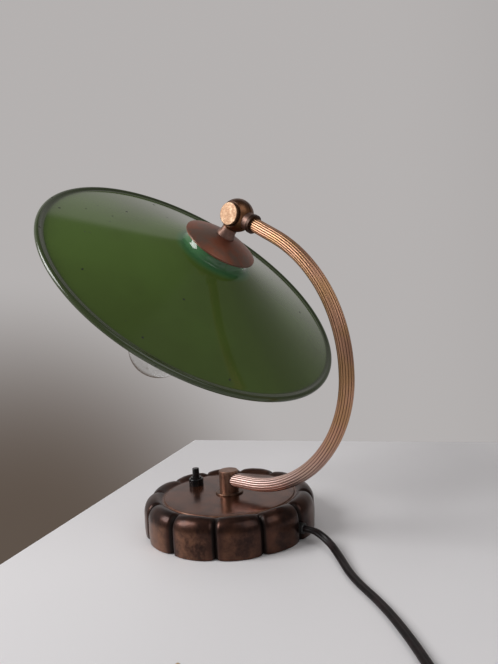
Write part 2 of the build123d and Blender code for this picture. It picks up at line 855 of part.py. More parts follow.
# The spring under the button, at its pressed length, so that the button's stroke stays free.
with BuildPart() as switch_spring:
    with BuildLine() as spring_line:
        Helix(spring_pitch, spring_turns * spring_pitch, spring_radius,
              center=(0, switch_y, spring_floor + spring_wire / 2))
    with BuildSketch(Plane(origin=spring_line.line @ 0, x_dir=(1, 0, 0), z_dir=(0, 1, 0))):
        Rectangle(spring_wire, spring_wire)
    sweep(path=spring_line.line, is_frenet=True)

export(switch_spring.part, "switch_spring")

with BuildPart() as switch_terminals:
    with BuildSketch(Plane.XY.offset(switch_foot)):
        with Locations((-6, switch_y), (6, switch_y)):
            Rectangle(1, 4)
    extrude(amount=-4)

export(switch_terminals.part, "switch_terminals")

# ---------------------------------------------------------------- cord

cord_radius = cord_diameter / 2


def from_base(distance, height):
    """Point on the cord's way out of the base, this far from the middle."""
    return (distance * cos(radians(groove_angle)), distance * sin(radians(groove_angle)), height)


def cord_radii(points):
    """Bend radius at each inner point: 0.45 of the shorter run over the tangent of half the turn."""
    radii = []
    for before, at, after in zip(points, points[1:], points[2:]):
        first = Vector(*at) - Vector(*before)
        second = Vector(*after) - Vector(*at)
        half_turn = radians(first.get_angle(second) / 2)
        radii.append(0.45 * min(first.length, second.length) / tan(half_turn))
    return radii


def cord_tube(points, name):
    """Round tube along straight runs joined by tangent arcs."""
    radii = cord_radii(points)
    with BuildPart() as tube:
        with BuildLine() as line:
            FilletPolyline(*points, radius=radii)
        with BuildSketch(Plane(origin=line.line @ 0, z_dir=line.line % 0)):
            Circle(cord_radius)
        sweep(path=line.line)
    length = sum(edge.length for edge in line.line.edges())
    print(name, "bend radii", [round(r, 1) for r in radii], "length", round(length, 1),
          "volume over section times length", round(tube.part.volume / (pi * cord_radius ** 2 * length), 4))
    return tube.part


with BuildPart() as cord_bush:
    with BuildSketch(across_cord.offset(cord_bush_inner)):
        Circle(cord_bush_radius)
    extrude(amount=cord_bush_outer - cord_bush_inner)
    chamfer(cord_bush.edges().filter_by(GeomType.CIRCLE).sort_by(Axis.Y)[-1], 0.7)
    with BuildSketch(across_cord.offset(cord_bush_inner)):
        Circle(cord_bush_flange)
    extrude(amount=groove_floor_radius - 2 * base_sheet - cord_bush_inner)
    with BuildSketch(across_cord.offset(cord_bush_inner)):
        Circle(cord_radius + arm_clearance)
    extrude(amount=cord_bush_outer, mode=Mode.SUBTRACT)

export(cord_bush.part, "cord_bush")

# Inside the base: through the bush, down the ballast's notch, over it and round its boss.
over_ballast = ballast_top + cord_radius + wall_gap
boss_pass = boss_radius + cord_radius + 1.5
inner_cord_route = [
    from_base(cord_bush_outer, cord_height),
    from_base(54, cord_height),
    from_base(38, over_ballast + 1),
    (boss_pass, 14, over_ballast),
    (boss_pass, -14, over_ballast + 0.2),
    (8, switch_y + switch_body_radius - 1, over_ballast),
]
inner_cord = cord_tube(inner_cord_route, "inner_cord")
export(inner_cord, "inner_cord")


def on_coil(radius, angle, height):
    """Point on the coil, at this radius and angle."""
    return (coil_centre[0] + radius * cos(radians(angle)), coil_centre[1] + radius * sin(radians(angle)), height)


coil_outer_turn = coil_outer_radius - cord_radius
coil_top_turn = coil_top_outer - cord_radius
coil_mouth = on_coil(coil_outer_turn, coil_entry_angle, cord_floor)
lead_route = [
    from_base(cord_bush_outer, cord_height),
    from_base(88, cord_height),
    (-2.5, 101, 6.8),
    (10, 115.5, 3.5),
    (32, 138, 3.1),
    (52, 170, 3.1),
    (76, 198, 3.1),
    (99.3, 220.5, 3.1),
    coil_mouth,
]
cord_lead = cord_tube(lead_route, "cord_lead")
export(cord_lead, "cord_lead")

# The put-away length: a ring of turns in two layers, cut back where the cord joins and leaves it.
coil_base = cord_floor - cord_radius
coil_step = coil_base + coil_layer
coil_top = coil_step + coil_layer
coil_axis = Axis(origin=(coil_centre[0], coil_centre[1], 0), direction=(0, 0, 1))


def coil_cut(angle, inner, low, high):
    """What a cut-back turn leaves free, from an angle anticlockwise."""
    way = (cos(radians(angle)), sin(radians(angle)), 0)
    with BuildPart() as cut:
        with BuildSketch(Plane(origin=(*coil_centre, 0), x_dir=way, z_dir=(way[1], -way[0], 0))):
            with BuildLine():
                outer = coil_outer_radius + 1
                Polyline((inner, low), (outer, low), (outer, high), (inner, high), close=True)
            make_face()
        revolve(axis=coil_axis, revolution_arc=cut_back_angle)
    return cut.part


entry_cut = coil_cut(coil_entry_angle, coil_outer_radius - cord_diameter - coil_slack, coil_base - 1, coil_step)
exit_cut = coil_cut(coil_exit_angle - cut_back_angle, coil_top_outer - cord_diameter - coil_slack,
                    coil_step, coil_top + 1)

with BuildPart() as cord_coil:
    with BuildSketch(Plane(origin=(*coil_centre, 0), x_dir=(1, 0, 0), z_dir=(0, -1, 0))) as coil_section:
        with BuildLine():
            Polyline((coil_inner_radius, coil_base), (coil_outer_radius, coil_base), (coil_outer_radius, coil_step),
                     (coil_top_outer, coil_step), (coil_top_outer, coil_top), (coil_top_inner, coil_top),
                     (coil_top_inner, coil_step), (coil_inner_radius, coil_step), close=True)
        make_face()
        fillet(coil_section.vertices(), 1.4)
    revolve(axis=coil_axis)
    add(entry_cut, mode=Mode.SUBTRACT)
    add(exit_cut, mode=Mode.SUBTRACT)

export(cord_coil.part, "cord_coil")

# From the coil's top layer the cord runs off clockwise, down to the plug's height.
tail_way = Vector(sin(radians(coil_exit_angle)), -cos(radians(coil_exit_angle)), 0)
tail_start = Vector(*on_coil(coil_top_turn, coil_exit_angle, coil_step + cord_radius + 0.1))
plug_height = plug_thickness / 2
tail_drop = Vector(0, 0, tail_start.Z - plug_height)
tail_route = [
    tuple(tail_start),
    tuple(tail_start + tail_way * 27),
    tuple(tail_start + tail_way * 38 - tail_drop),
    tuple(tail_start + tail_way * 49 - tail_drop),
]
cord_tail = cord_tube(tail_route, "cord_tail")
export(cord_tail, "cord_tail")

# ---------------------------------------------------------------- plug

plug_start = Vector(*tail_route[-1])
plug_plane = Plane(origin=tuple(plug_start), x_dir=(-tail_way.Y, tail_way.X, 0), z_dir=tuple(tail_way))
plug_body_plane = plug_plane.offset(plug_relief_length)
plug_face_plane = plug_body_plane.offset(plug_length)
plug_flat = Plane(origin=plug_body_plane.origin, x_dir=tuple(tail_way), z_dir=(0, 0, 1))

with BuildPart() as plug_body:
    with BuildSketch(plug_flat):
        with BuildLine():
            taper_end = plug_length - plug_straight
            Polyline((0, plug_tail_width / 2), (taper_end, plug_width / 2), (plug_length, plug_width / 2),
                     (plug_length, -plug_width / 2), (taper_end, -plug_width / 2), (0, -plug_tail_width / 2),
                     close=True)
        make_face()
    extrude(amount=plug_thickness / 2, both=True)
    fillet(plug_body.edges().filter_by(Axis.Z), 2)
    fillet(plug_body.edges().filter_by(Plane.XY), 1.5)
    with BuildSketch(plug_plane):
        Circle(cord_radius + 0.4)
    with BuildSketch(plug_body_plane):
        Circle(plug_relief_radius)
    loft()

export(plug_body.part, "plug_body")

with BuildPart() as plug_pins:
    with BuildSketch(plug_face_plane):
        with Locations((-pin_spacing / 2, 0), (pin_spacing / 2, 0)):
            Circle(pin_radius)
    extrude(amount=pin_length)
    fillet(plug_pins.faces().filter_by(GeomType.PLANE).sort_by(Axis(origin=tuple(plug_start),
           direction=tuple(tail_way)))[-2:].edges(), 1)

export(plug_pins.part, "plug_pins")

cord_length = sum([
    cord_lead.volume, cord_tail.volume]) / (pi * cord_radius ** 2)
bottom_turns = [coil_inner_radius + cord_radius + k * cord_diameter for k in range(4)]
top_turns = [coil_top_inner + cord_radius + k * cord_diameter for k in range(3)]
print("cord length outside the base", round(cord_length + 2 * pi * sum(bottom_turns + top_turns)))
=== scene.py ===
import bpy
import math
from mathutils import Matrix, Vector


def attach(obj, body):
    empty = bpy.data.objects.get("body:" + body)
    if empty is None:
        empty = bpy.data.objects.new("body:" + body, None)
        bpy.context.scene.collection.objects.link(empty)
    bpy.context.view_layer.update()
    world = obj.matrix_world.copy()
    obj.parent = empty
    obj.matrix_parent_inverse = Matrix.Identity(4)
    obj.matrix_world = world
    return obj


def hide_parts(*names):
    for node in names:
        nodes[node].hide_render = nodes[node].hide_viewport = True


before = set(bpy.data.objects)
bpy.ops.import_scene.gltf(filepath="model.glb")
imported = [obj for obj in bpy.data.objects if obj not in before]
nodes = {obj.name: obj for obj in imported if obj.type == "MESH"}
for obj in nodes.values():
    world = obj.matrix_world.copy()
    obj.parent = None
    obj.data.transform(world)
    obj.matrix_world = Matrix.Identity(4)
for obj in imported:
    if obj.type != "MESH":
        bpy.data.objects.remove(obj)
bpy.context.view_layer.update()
bpy.ops.object.select_all(action="DESELECT")
print("frame loaded:", len(nodes), "nodes")

mm = 0.001
softEdge = math.radians(50)  # sharper edges than this stay sharp


def chooseOnly(piece):
    bpy.ops.object.select_all(action="DESELECT")
    piece.select_set(True)
    bpy.context.view_layer.objects.active = piece


camera = {
    "place": (0.34154, 0.31516, 0.17924),
    "lens": 28.485,
    "azimuth": 132.7,  # 0 looks along +Y, 90 along -X
    "yaw": -3.09,
    "pitch": 1.19,
    "roll": 3.14,
}


def aimCamera(setup):
    bpy.ops.object.camera_add()
    eye = bpy.context.object
    eye.name = "viewCamera"
    eye.data.lens = setup["lens"]
    eye.data.sensor_width = 36
    eye.data.sensor_fit = "AUTO"
    eye.data.dof.use_dof = False
    eye.data.clip_start = 0.01
    turn = math.radians(setup["azimuth"])
    yaw = math.radians(setup["yaw"])
    pitch = math.radians(setup["pitch"])
    roll = math.radians(setup["roll"])
    level = Matrix.Rotation(yaw, 3, "Z") @ Vector((-math.sin(turn), math.cos(turn), 0))
    side = level.cross(Vector((0, 0, 1)))
    ahead = level * math.cos(pitch) - Vector((0, 0, 1)) * math.sin(pitch)
    top = side.cross(ahead)
    right = side * math.cos(roll) - top * math.sin(roll)
    up = side * math.sin(roll) + top * math.cos(roll)
    eye.matrix_world = Matrix((
        (right.x, up.x, -ahead.x, setup["place"][0]),
        (right.y, up.y, -ahead.y, setup["place"][1]),
        (right.z, up.z, -ahead.z, setup["place"][2]),
        (0, 0, 0, 1)))
    bpy.context.scene.camera = eye


aimCamera(camera)

cord = {
    "width": 6.0,
    "height": 3.8,
    "strandSweep": 250,  # degrees of each strand's circle that show beside the web
    "strandSteps": 8,
    "grooveAngle": 92,
    "bushRadii": (77, 82),  # the bush's mouth and a little beyond it, along the groove
    "bushHeight": 11,
    "twist": [0, 0, 0.5, 0.95, 0.45],  # the flat cord turns on edge and lies down on the table
    "lead": [(-4.2, 88, 10.0), (-1.8, 100.5, 5.2), (10.5, 116, 2.6), (32, 138, 2.1),
             (52, 170, 2.1), (76, 198, 2.1), (99.3, 220.5, 2.1)],
    "coilCentre": (158.5, 237.5),
    "entryAngle": 149,
    "exitAngle": -9,
    "lowerTurns": [42, 36, 30, 24],
    "upperTurns": [27, 33, 39],
    "lowerHeight": 2.1,
    "upperHeight": 6.0,
    "pointsPerTurn": 16,
    "crossover": 0.2,  # share of a turn in which the cord steps to the next one
    "tail": [(13, 0), (27, 0), (38, 1), (49, 1)],  # mm along the way out, share of the drop
    "plugHeight": 6.85,
}


def coilPoints(c):
    step = 360 / c["pointsPerTurn"]
    swell = 1 / math.cos(math.radians(step / 2))  # the spline runs inside its points
    radii = c["lowerTurns"] + c["upperTurns"]
    heights = [c["lowerHeight"]] * len(c["lowerTurns"])
    heights += [c["upperHeight"]] * len(c["upperTurns"])
    total = 360 * (len(radii) - 1) + (c["entryAngle"] - c["exitAngle"]) % 360
    points = []
    for k in range(int(total / step) + 1):
        turned = k * step
        turn = min(int(turned // 360), len(radii) - 1)
        after = min(turn + 1, len(radii) - 1)
        share = max(0, (turned / 360 - turn - 1 + c["crossover"]) / c["crossover"])
        share = min(1, share)
        radius = (radii[turn] + (radii[after] - radii[turn]) * share) * swell
        height = heights[turn] + (heights[after] - heights[turn]) * share
        angle = math.radians(c["entryAngle"] - turned)
        points.append((c["coilCentre"][0] + radius * math.cos(angle),
                       c["coilCentre"][1] + radius * math.sin(angle), height))
    return points


def cordPoints(c):
    away = math.radians(c["grooveAngle"])
    points = [(r * math.cos(away), r * math.sin(away), c["bushHeight"]) for r in c["bushRadii"]]
    points += c["lead"] + coilPoints(c)
    angle = math.radians(c["exitAngle"])
    radius = c["upperTurns"][-1]
    low = c["upperHeight"]
    for distance, share in c["tail"]:
        points.append((c["coilCentre"][0] + radius * math.cos(angle) + distance * math.sin(angle),
                       c["coilCentre"][1] + radius * math.sin(angle) - distance * math.cos(angle),
                       low + (c["plugHeight"] - low) * share))
    return [Vector(p) * mm for p in points]


def splineFrom(name, points, twist):
    curve = bpy.data.curves.new(name, "CURVE")
    curve.dimensions = "3D"
    curve.twist_mode = "Z_UP"
    curve.resolution_u = 6
    spline = curve.splines.new("NURBS")
    spline.points.add(len(points) - 1)
    for target, point in zip(spline.points, points):
        target.co = (*point, 1)
    for target, turn in zip(spline.points, twist):
        target.tilt = turn
    spline.order_u = 3
    spline.use_endpoint_u = True
    piece = bpy.data.objects.new(name, curve)
    bpy.context.collection.objects.link(piece)
    return piece


def twinSection(c):
    curve = bpy.data.curves.new("cordSection", "CURVE")
    curve.dimensions = "2D"
    spline = curve.splines.new("POLY")
    strand = c["height"] / 2
    offset = c["width"] / 2 - strand
    outline = []
    for side, outward in ((1, 0), (-1, 180)):  # two round strands that meet in a web
        for k in range(c["strandSteps"] + 1):
            turned = outward - c["strandSweep"] / 2 + c["strandSweep"] * k / c["strandSteps"]
            angle = math.radians(turned)
            outline.append((side * offset + strand * math.cos(angle), strand * math.sin(angle)))
    spline.points.add(len(outline) - 1)
    for target, (x, y) in zip(spline.points, outline):
        target.co = (x * mm, y * mm, 0, 1)
    spline.use_cyclic_u = True
    section = bpy.data.objects.new("cordSection", curve)
    bpy.context.collection.objects.link(section)
    return section


def makeCord(c):
    points = cordPoints(c)
    cordLine = splineFrom("mainsCord", points, c["twist"])
    bare = bpy.data.meshes.new_from_object(cordLine)
    path = [v.co.copy() for v in bare.vertices]
    bpy.data.meshes.remove(bare)
    section = twinSection(c)
    cordLine.data.bevel_mode = "OBJECT"
    cordLine.data.bevel_object = section
    cordLine.data.use_fill_caps = True
    chooseOnly(cordLine)
    bpy.ops.object.convert(target="MESH")
    cordLine = bpy.context.object
    bpy.data.objects.remove(section)
    bpy.ops.object.shade_smooth_by_angle(angle=softEdge)
    length = sum((b - a).length for a, b in zip(path, path[1:]))
    print("cord made:", round(length, 3), "m outside the base")
    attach(cordLine, "base")
    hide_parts("cord_lead", "cord_coil", "cord_tail")
    return cordLine


mainsCord = makeCord(cord)
bpy.ops.object.select_all(action="DESELECT")


class Wire:  # one socket of a node tree; sums on it add Math nodes
    def __init__(self, tree, socket=None):
        self.tree = tree
        self.socket = socket

    def node(self, kind, settings=None, inputs=None, output=0):
        made = self.tree.nodes.new(kind)
        for name, value in (settings or {}).items():
            setattr(made, name, value)
        for key, value in (inputs or {}).items():
            if isinstance(value, Wire):
                self.tree.links.new(value.socket, made.inputs[key])
            else:
                made.inputs[key].default_value = value
        return Wire(self.tree, made.outputs[output])

    def maths(self, operation, first, second=0.0):
        return self.node("ShaderNodeMath", {"operation": operation}, {0: first, 1: second})

    def __add__(self, other):
        return self.maths("ADD", self, other)

    def __sub__(self, other):
        return self.maths("SUBTRACT", self, other)

    def __rsub__(self, other):
        return self.maths("SUBTRACT", other, self)

    def __mul__(self, other):
        return self.maths("MULTIPLY", self, other)

    __radd__ = __add__
    __rmul__ = __mul__

    def step(self, low, high):  # 0 below low, 1 above high, soft between
        return self.node("ShaderNodeMapRange", {"interpolation_type": "SMOOTHSTEP"},
                         {"Value": self, "From Min": low, "From Max": high})

    def stepOver(self, band):  # the same over a band given in millimetres
        return self.step(band[0] * mm, band[1] * mm)

    def unsigned(self):  # the value without its sign
        return self.maths("ABSOLUTE", self)

    def part(self, axis):  # one coordinate of a place
        return self.node("ShaderNodeSeparateXYZ", None, {0: self}, axis)

    def colours(self, first, second):  # first where the mask is 0, second where it is 1
        return self.node("ShaderNodeMix", {"data_type": "RGBA"}, {0: self, 6: first, 7: second}, 2)

    def bump(self, strength, distance):
        return self.node("ShaderNodeBump", None,
                         {"Height": self, "Strength": strength, "Distance": distance})

    def vector(self, operation, *others, output=0):
        inputs = dict(enumerate((self, *others)))
        return self.node("ShaderNodeVectorMath", {"operation": operation}, inputs, output)

    def along(self, way, start=(0, 0, 0)):  # how far a place lies along a way from a start
        return self.vector("SUBTRACT", start).vector("DOT_PRODUCT", way, output="Value")

    def away(self, way, start):  # distance from an axis
        crossed = self.vector("SUBTRACT", start).vector("CROSS_PRODUCT", way)
        return crossed.vector("LENGTH", output="Value")

    def noise(self, scale, detail=3.0, roughness=0.55):
        return self.node("ShaderNodeTexNoise", None,
                         {"Vector": self, "Scale": scale, "Detail": detail, "Roughness": roughness})


def objectPlace(wires):
    return wires.node("ShaderNodeTexCoord", output="Object")


def pressedShare(wires):  # 0 on the crests, 1 in the depth of a groove
    return wires.node("ShaderNodeAttribute", {"attribute_name": "pressed"}, output="Fac")


def makeMaterial(name, constants, paint):
    material = bpy.data.materials.new(name)
    material.use_nodes = True
    shader = material.node_tree.nodes["Principled BSDF"]
    for socket, value in constants.items():
        shader.inputs[socket].default_value = value
    for socket, wire in paint(Wire(material.node_tree)).items():
        material.node_tree.links.new(wire.socket, shader.inputs[socket])
    return material


tilt = math.radians(44.75)
knuckle = Vector((0, 26.99159, 269.14494)) * mm
shadeWay = Vector((0, -math.sin(tilt), -math.cos(tilt)))
armTurn = math.radians(58.36)
armWay = Vector((0, math.sin(armTurn), -math.cos(armTurn)))

patina = {
    "dark": (0.022, 0.0095, 0.0075, 1),
    "brown": (0.066, 0.027, 0.017, 1),
    "tan": (0.21, 0.098, 0.056, 1),
    "groove": (0.010, 0.007, 0.006, 1),
    "red": (0.20, 0.072, 0.036, 1),
    "line": (0.20, 0.125, 0.09, 1),
    "discEdge": 57.3,
    "lineWidth": (0.2, 0.8),  # from the edge's middle to where the raised line has ended
    "lobesFrom": (58.0, 60.5),
    "wornBelow": (16, 27),  # heights between which the wear on a lobe fades out
    "litWay": (0.636, -0.772, 0),  # the tan patches, partly wear, are painted stronger on the lobes on the lit side: painted light
    "litFrom": (-35, 50),
}


def paintPatina(wires):
    place = objectPlace(wires)
    radius = place.away((0, 0, 1), (0, 0, 0))
    pressed = pressedShare(wires)
    onLobes = radius.stepOver(patina["lobesFrom"])
    mottle = place.noise(38, 5, 0.62)
    fine = place.noise(240, 4, 0.6)
    streaks = place.noise(90, 2, 0.5)
    low = 1 - place.part(2).stepOver(patina["wornBelow"])
    # painted light: the tan wear patches grow stronger towards the lit side of the base
    towardsLight = place.along(patina["litWay"]).stepOver(patina["litFrom"])
    face = (1 - pressed.step(0.05, 0.28)) * low * onLobes * (0.2 + towardsLight * 0.8)
    colour = mottle.step(0.36, 0.66).colours(patina["dark"], patina["brown"])
    colour = (face * (mottle + fine * 0.35).step(0.50, 0.86)).colours(colour, patina["tan"])
    disc = (1 - onLobes) * (0.3 + streaks.step(0.3, 0.7) * 0.4)
    colour = disc.colours(colour, patina["red"])
    # painted highlight: the disc's raised edge line is painted lighter
    line = 1 - (radius - patina["discEdge"] * mm).unsigned().stepOver(patina["lineWidth"])
    colour = (line * streaks.step(0.3, 0.6) * 0.7).colours(colour, patina["line"])
    # dark patina in the grooves, deepened to near black as painted shade
    groove = pressed.step(0.30, 0.62)
    colour = (groove * 0.85).colours(colour, patina["groove"])
    dull = fine * 0.18 + onLobes * 0.10 + 0.12 + groove * 0.3 + line * 0.3
    dents = mottle * 0.6 + fine * 0.4
    return {"Base Color": colour, "Roughness": dull, "Normal": dents.bump(0.22, 0.0008)}


reedCopper = {
    "crest": (0.57, 0.31, 0.205, 1),
    "pink": (0.47, 0.36, 0.35, 1),
    "valley": (0.085, 0.040, 0.023, 1),
    "brassy": (0.52, 0.295, 0.155, 1),
    "pinkBelow": (42, 100),
}


def paintReeds(wires):
    place = objectPlace(wires)
    height = 1 - pressedShare(wires)
    wear = place.noise(55, 4, 0.6)
    fine = place.noise(420, 3, 0.6)
    metal = wear.step(0.38, 0.64).colours(reedCopper["crest"], reedCopper["brassy"])
    # painted shade: the valleys between the reeds are painted dark
    lit = (height + (wear - 0.5) * 0.3).step(0.20, 0.75)
    dull = 0.30 + fine * 0.12 + (1 - lit) * 0.2
    low = 1 - place.part(2).stepOver(reedCopper["pinkBelow"])
    metal = (low * 0.75).colours(metal, reedCopper["pink"])
    return {"Base Color": lit.colours(reedCopper["valley"], metal), "Roughness": dull}


agedBrass = {
    # painted shade for the socket's mouth ring and the ball's flat sides
    "paintedShade": (0.034, 0.018, 0.011, 1),
    "shadow": (0.105, 0.046, 0.022, 1),
    "gold": (0.215, 0.095, 0.042, 1),
    "necks": (0.21, 0.125, 0.100, 1),
    "neckStart": (14.0, 14.8),  # away from the ball's middle
    "ringStart": (17.0, 17.7),  # along the arm's socket
    "flatStart": (8.6, 8.85),  # beyond this width the ball's flat sides are painted dark: painted shade round the cap
}


def paintAgedBrass(wires):
    place = objectPlace(wires)
    broad = place.noise(85, 4, 0.6)
    fine = place.noise(500, 3, 0.6)
    colour = broad.step(0.36, 0.68).colours(agedBrass["shadow"], agedBrass["gold"])
    fromMiddle = place.vector("DISTANCE", tuple(knuckle), output="Value")
    necks = fromMiddle.stepOver(agedBrass["neckStart"]) * broad.step(0.30, 0.55)
    colour = necks.colours(colour, agedBrass["necks"])
    ring = place.along(tuple(armWay), tuple(knuckle)).stepOver(agedBrass["ringStart"])
    flats = place.part(0).unsigned().stepOver(agedBrass["flatStart"])
    # painted shade: darker in the socket's mouth ring and on the ball's flat sides
    colour = wires.maths("MAXIMUM", ring * 0.85, flats * 0.65).colours(colour, agedBrass["paintedShade"])
    dull = 0.26 + fine * 0.2 + flats * 0.25 + necks * 0.12
    return {"Base Color": colour, "Roughness": dull, "Normal": fine.bump(0.12, 0.0003)}


canopyTones = {
    "red": (0.285, 0.100, 0.057, 1),
    "grey": (0.195, 0.118, 0.088, 1),
    "rim": (0.10, 0.055, 0.038, 1),
    "rimStart": (32.7, 33.4),
}


def paintCanopy(wires):
    place = objectPlace(wires)
    broad = place.noise(42, 4, 0.6)
    fine = place.noise(330, 4, 0.6)
    radius = place.away(tuple(shadeWay), tuple(knuckle))
    colour = broad.step(0.40, 0.62).colours(canopyTones["red"], canopyTones["grey"])
    rim = radius.stepOver(canopyTones["rimStart"])
    # painted shade: the canopy's rim edge is darker where it sits over the shade
    colour = (rim * 0.5).colours(colour, canopyTones["rim"])
    dull = 0.34 + fine * 0.22
    return {"Base Color": colour, "Roughness": dull, "Normal": fine.bump(0.10, 0.0003)}


capTones = {
    "face": (0.62, 0.44, 0.30, 1),
    "worn": (0.36, 0.22, 0.14, 1),
    "edge": (0.16, 0.09, 0.05, 1),
    "edgeStart": (8.9, 9.5),
}


def paintCap(wires):
    place = objectPlace(wires)
    radius = place.away((1, 0, 0), tuple(knuckle))
    pits = place.noise(620, 4, 0.65)
    broad = place.noise(210, 3, 0.6)
    worn = (broad * 0.6 + pits * 0.4).step(0.44, 0.62)
    colour = worn.colours(capTones["worn"], capTones["face"])
    colour = radius.stepOver(capTones["edgeStart"]).colours(colour, capTones["edge"])
    dull = 0.42 + pits * 0.2
    return {"Base Color": colour, "Roughness": dull, "Normal": pits.bump(0.35, 0.0004)}


postTones = {
    "dark": (0.15, 0.078, 0.052, 1),
    "light": (0.36, 0.21, 0.15, 1),
    "brushed": (1, 1, 0.08),  # the fine marks are drawn out along the post
}


def paintPost(wires):
    place = objectPlace(wires)
    broad = place.noise(70, 4, 0.6)
    drawn = place.node("ShaderNodeMapping", None, {"Vector": place, "Scale": postTones["brushed"]})
    fine = drawn.noise(900, 2, 0.5)
    tone = (broad * 0.7 + fine * 0.3).step(0.38, 0.62)
    return {"Base Color": tone.colours(postTones["dark"], postTones["light"]),
            "Roughness": 0.26 + fine * 0.2}


enamelTones = {
    "green": (0.088, 0.150, 0.030, 1),
    "deep": (0.072, 0.114, 0.024, 1),
    "teal": (0.058, 0.190, 0.082, 1),
    "rim": (0.036, 0.046, 0.021, 1),
    "speck": (0.008, 0.008, 0.006, 1),
    "bend": (31, 39),  # painted highlight: the shoulder's bend is painted teal
    "roll": (137.0, 139.5),  # the enamel is darker from the hollow before the rolled rim outwards
    "specksFrom": (42, 46),  # along the axis
}


def paintEnamel(wires):
    place = objectPlace(wires)
    broad = place.noise(9, 3, 0.5)
    distance = place.along(tuple(shadeWay), tuple(knuckle))
    radius = place.away(tuple(shadeWay), tuple(knuckle))
    colour = broad.step(0.35, 0.65).colours(enamelTones["deep"], enamelTones["green"])
    # painted highlight: teal over the shoulder's bend
    shoulderHighlight = 0.8 - radius.stepOver(enamelTones["bend"]) * 0.8
    colour = shoulderHighlight.colours(colour, enamelTones["teal"])
    roll = radius.stepOver(enamelTones["roll"])
    colour = (roll * 0.8).colours(colour, enamelTones["rim"])
    specks = place.noise(150, 1, 0.4).step(0.765, 0.79)
    specks = specks * distance.stepOver(enamelTones["specksFrom"])
    colour = specks.colours(colour, enamelTones["speck"])
    ripple = place.noise(28, 2, 0.5)
    dull = 0.08 + specks * 0.4 + roll * 0.08
    return {"Base Color": colour, "Roughness": dull, "Normal": ripple.bump(0.05, 0.001)}


insideTones = {
    "white": (0.80, 0.80, 0.77, 1),
    "warmed": (0.62, 0.56, 0.45, 1),
    "warmedTo": (20, 100),  # the bulb has yellowed the middle
}


def paintInside(wires):
    place = objectPlace(wires)
    soot = place.noise(26, 4, 0.6).step(0.45, 0.75)
    radius = place.away(tuple(shadeWay), tuple(knuckle))
    warm = (1 - radius.stepOver(insideTones["warmedTo"])) * 0.35 + soot * 0.15
    return {"Base Color": warm.colours(insideTones["white"], insideTones["warmed"])}


def speckled(first, second, scale, dull, depth=0.0002, strength=0.1):  # two tones, a fine grain
    def paint(wires):
        place = objectPlace(wires)
        grain = place.noise(scale, 4, 0.6)
        return {"Base Color": grain.step(0.38, 0.64).colours((*first, 1), (*second, 1)),
                "Roughness": dull + grain * 0.15, "Normal": grain.bump(strength, depth)}
    return paint


cordTones = {
    "dark": (0.005, 0.0032, 0.0034, 1),
    "light": (0.018, 0.0100, 0.0105, 1),
}


def paintCord(wires):
    place = objectPlace(wires)
    grain = place.noise(160, 4, 0.6)
    colour = grain.step(0.35, 0.7).colours(cordTones["dark"], cordTones["light"])
    return {"Base Color": colour, "Roughness": 0.30 + grain * 0.2,
            "Normal": place.noise(700).bump(0.12, 0.0002)}


def paintGlass(wires):
    return {"Roughness": objectPlace(wires).noise(60, 2, 0.5).step(0.45, 0.8) * 0.08}


def metal(metallic, coat=0.0, coatRoughness=0.03):
    return {"Metallic": metallic, "Coat Weight": coat, "Coat Roughness": coatRoughness}


recipes = {
    "patinaCopper": (metal(0.82, 0.07, 0.1), paintPatina),
    "reedCopper": (metal(1.0), paintReeds),
    "agedBrass": (metal(0.9, 0.1, 0.2), paintAgedBrass),
    "canopyCopper": (metal(0.6, 0.1, 0.2), paintCanopy),
    "capBrass": (metal(1.0), paintCap),
    "postCopper": (metal(0.9), paintPost),
    "collarCopper": (metal(0.8), speckled((0.07, 0.034, 0.022), (0.16, 0.085, 0.055), 90, 0.26)),
    "greenEnamel": ({"IOR": 1.5}, paintEnamel),
    "whiteEnamel": ({"Roughness": 0.16}, paintInside),
    "bakelite": ({"Coat Weight": 0.15, "Specular IOR Level": 0.3},
                 speckled((0.006, 0.006, 0.007), (0.014, 0.012, 0.012), 220, 0.16)),
    "steel": (metal(1.0), speckled((0.42, 0.42, 0.40), (0.62, 0.61, 0.58), 300, 0.28)),
    "brass": (metal(1.0), speckled((0.62, 0.42, 0.18), (0.85, 0.64, 0.32), 260, 0.22)),
    "aluminium": (metal(1.0), speckled((0.62, 0.62, 0.63), (0.80, 0.80, 0.81), 400, 0.24)),
    "castIron": (metal(0.4),
                 speckled((0.035, 0.035, 0.038), (0.075, 0.072, 0.070), 420, 0.55, 0.0006, 0.5)),
    "felt": ({"Sheen Weight": 0.6},
             speckled((0.008, 0.022, 0.013), (0.022, 0.052, 0.030), 1400, 0.8, 0.0006, 0.8)),
    "fibre": ({}, speckled((0.16, 0.05, 0.03), (0.24, 0.09, 0.05), 700, 0.6)),
    "porcelain": ({"Coat Weight": 0.5}, speckled((0.70, 0.68, 0.63), (0.78, 0.76, 0.72), 60, 0.15)),
    "blackGlass": ({"Coat Weight": 0.5},
                   speckled((0.006, 0.006, 0.008), (0.012, 0.012, 0.016), 150, 0.08)),
    "clearGlass": ({"Transmission Weight": 1.0, "IOR": 1.45, "Base Color": (0.97, 0.98, 0.98, 1)},
                   paintGlass),
    "rubber": ({}, speckled((0.008, 0.008, 0.008), (0.018, 0.017, 0.016), 350, 0.5)),
    "cordBrown": ({"Specular IOR Level": 0.22}, paintCord),
}
finishes = {name: makeMaterial(name, *recipe) for name, recipe in recipes.items()}

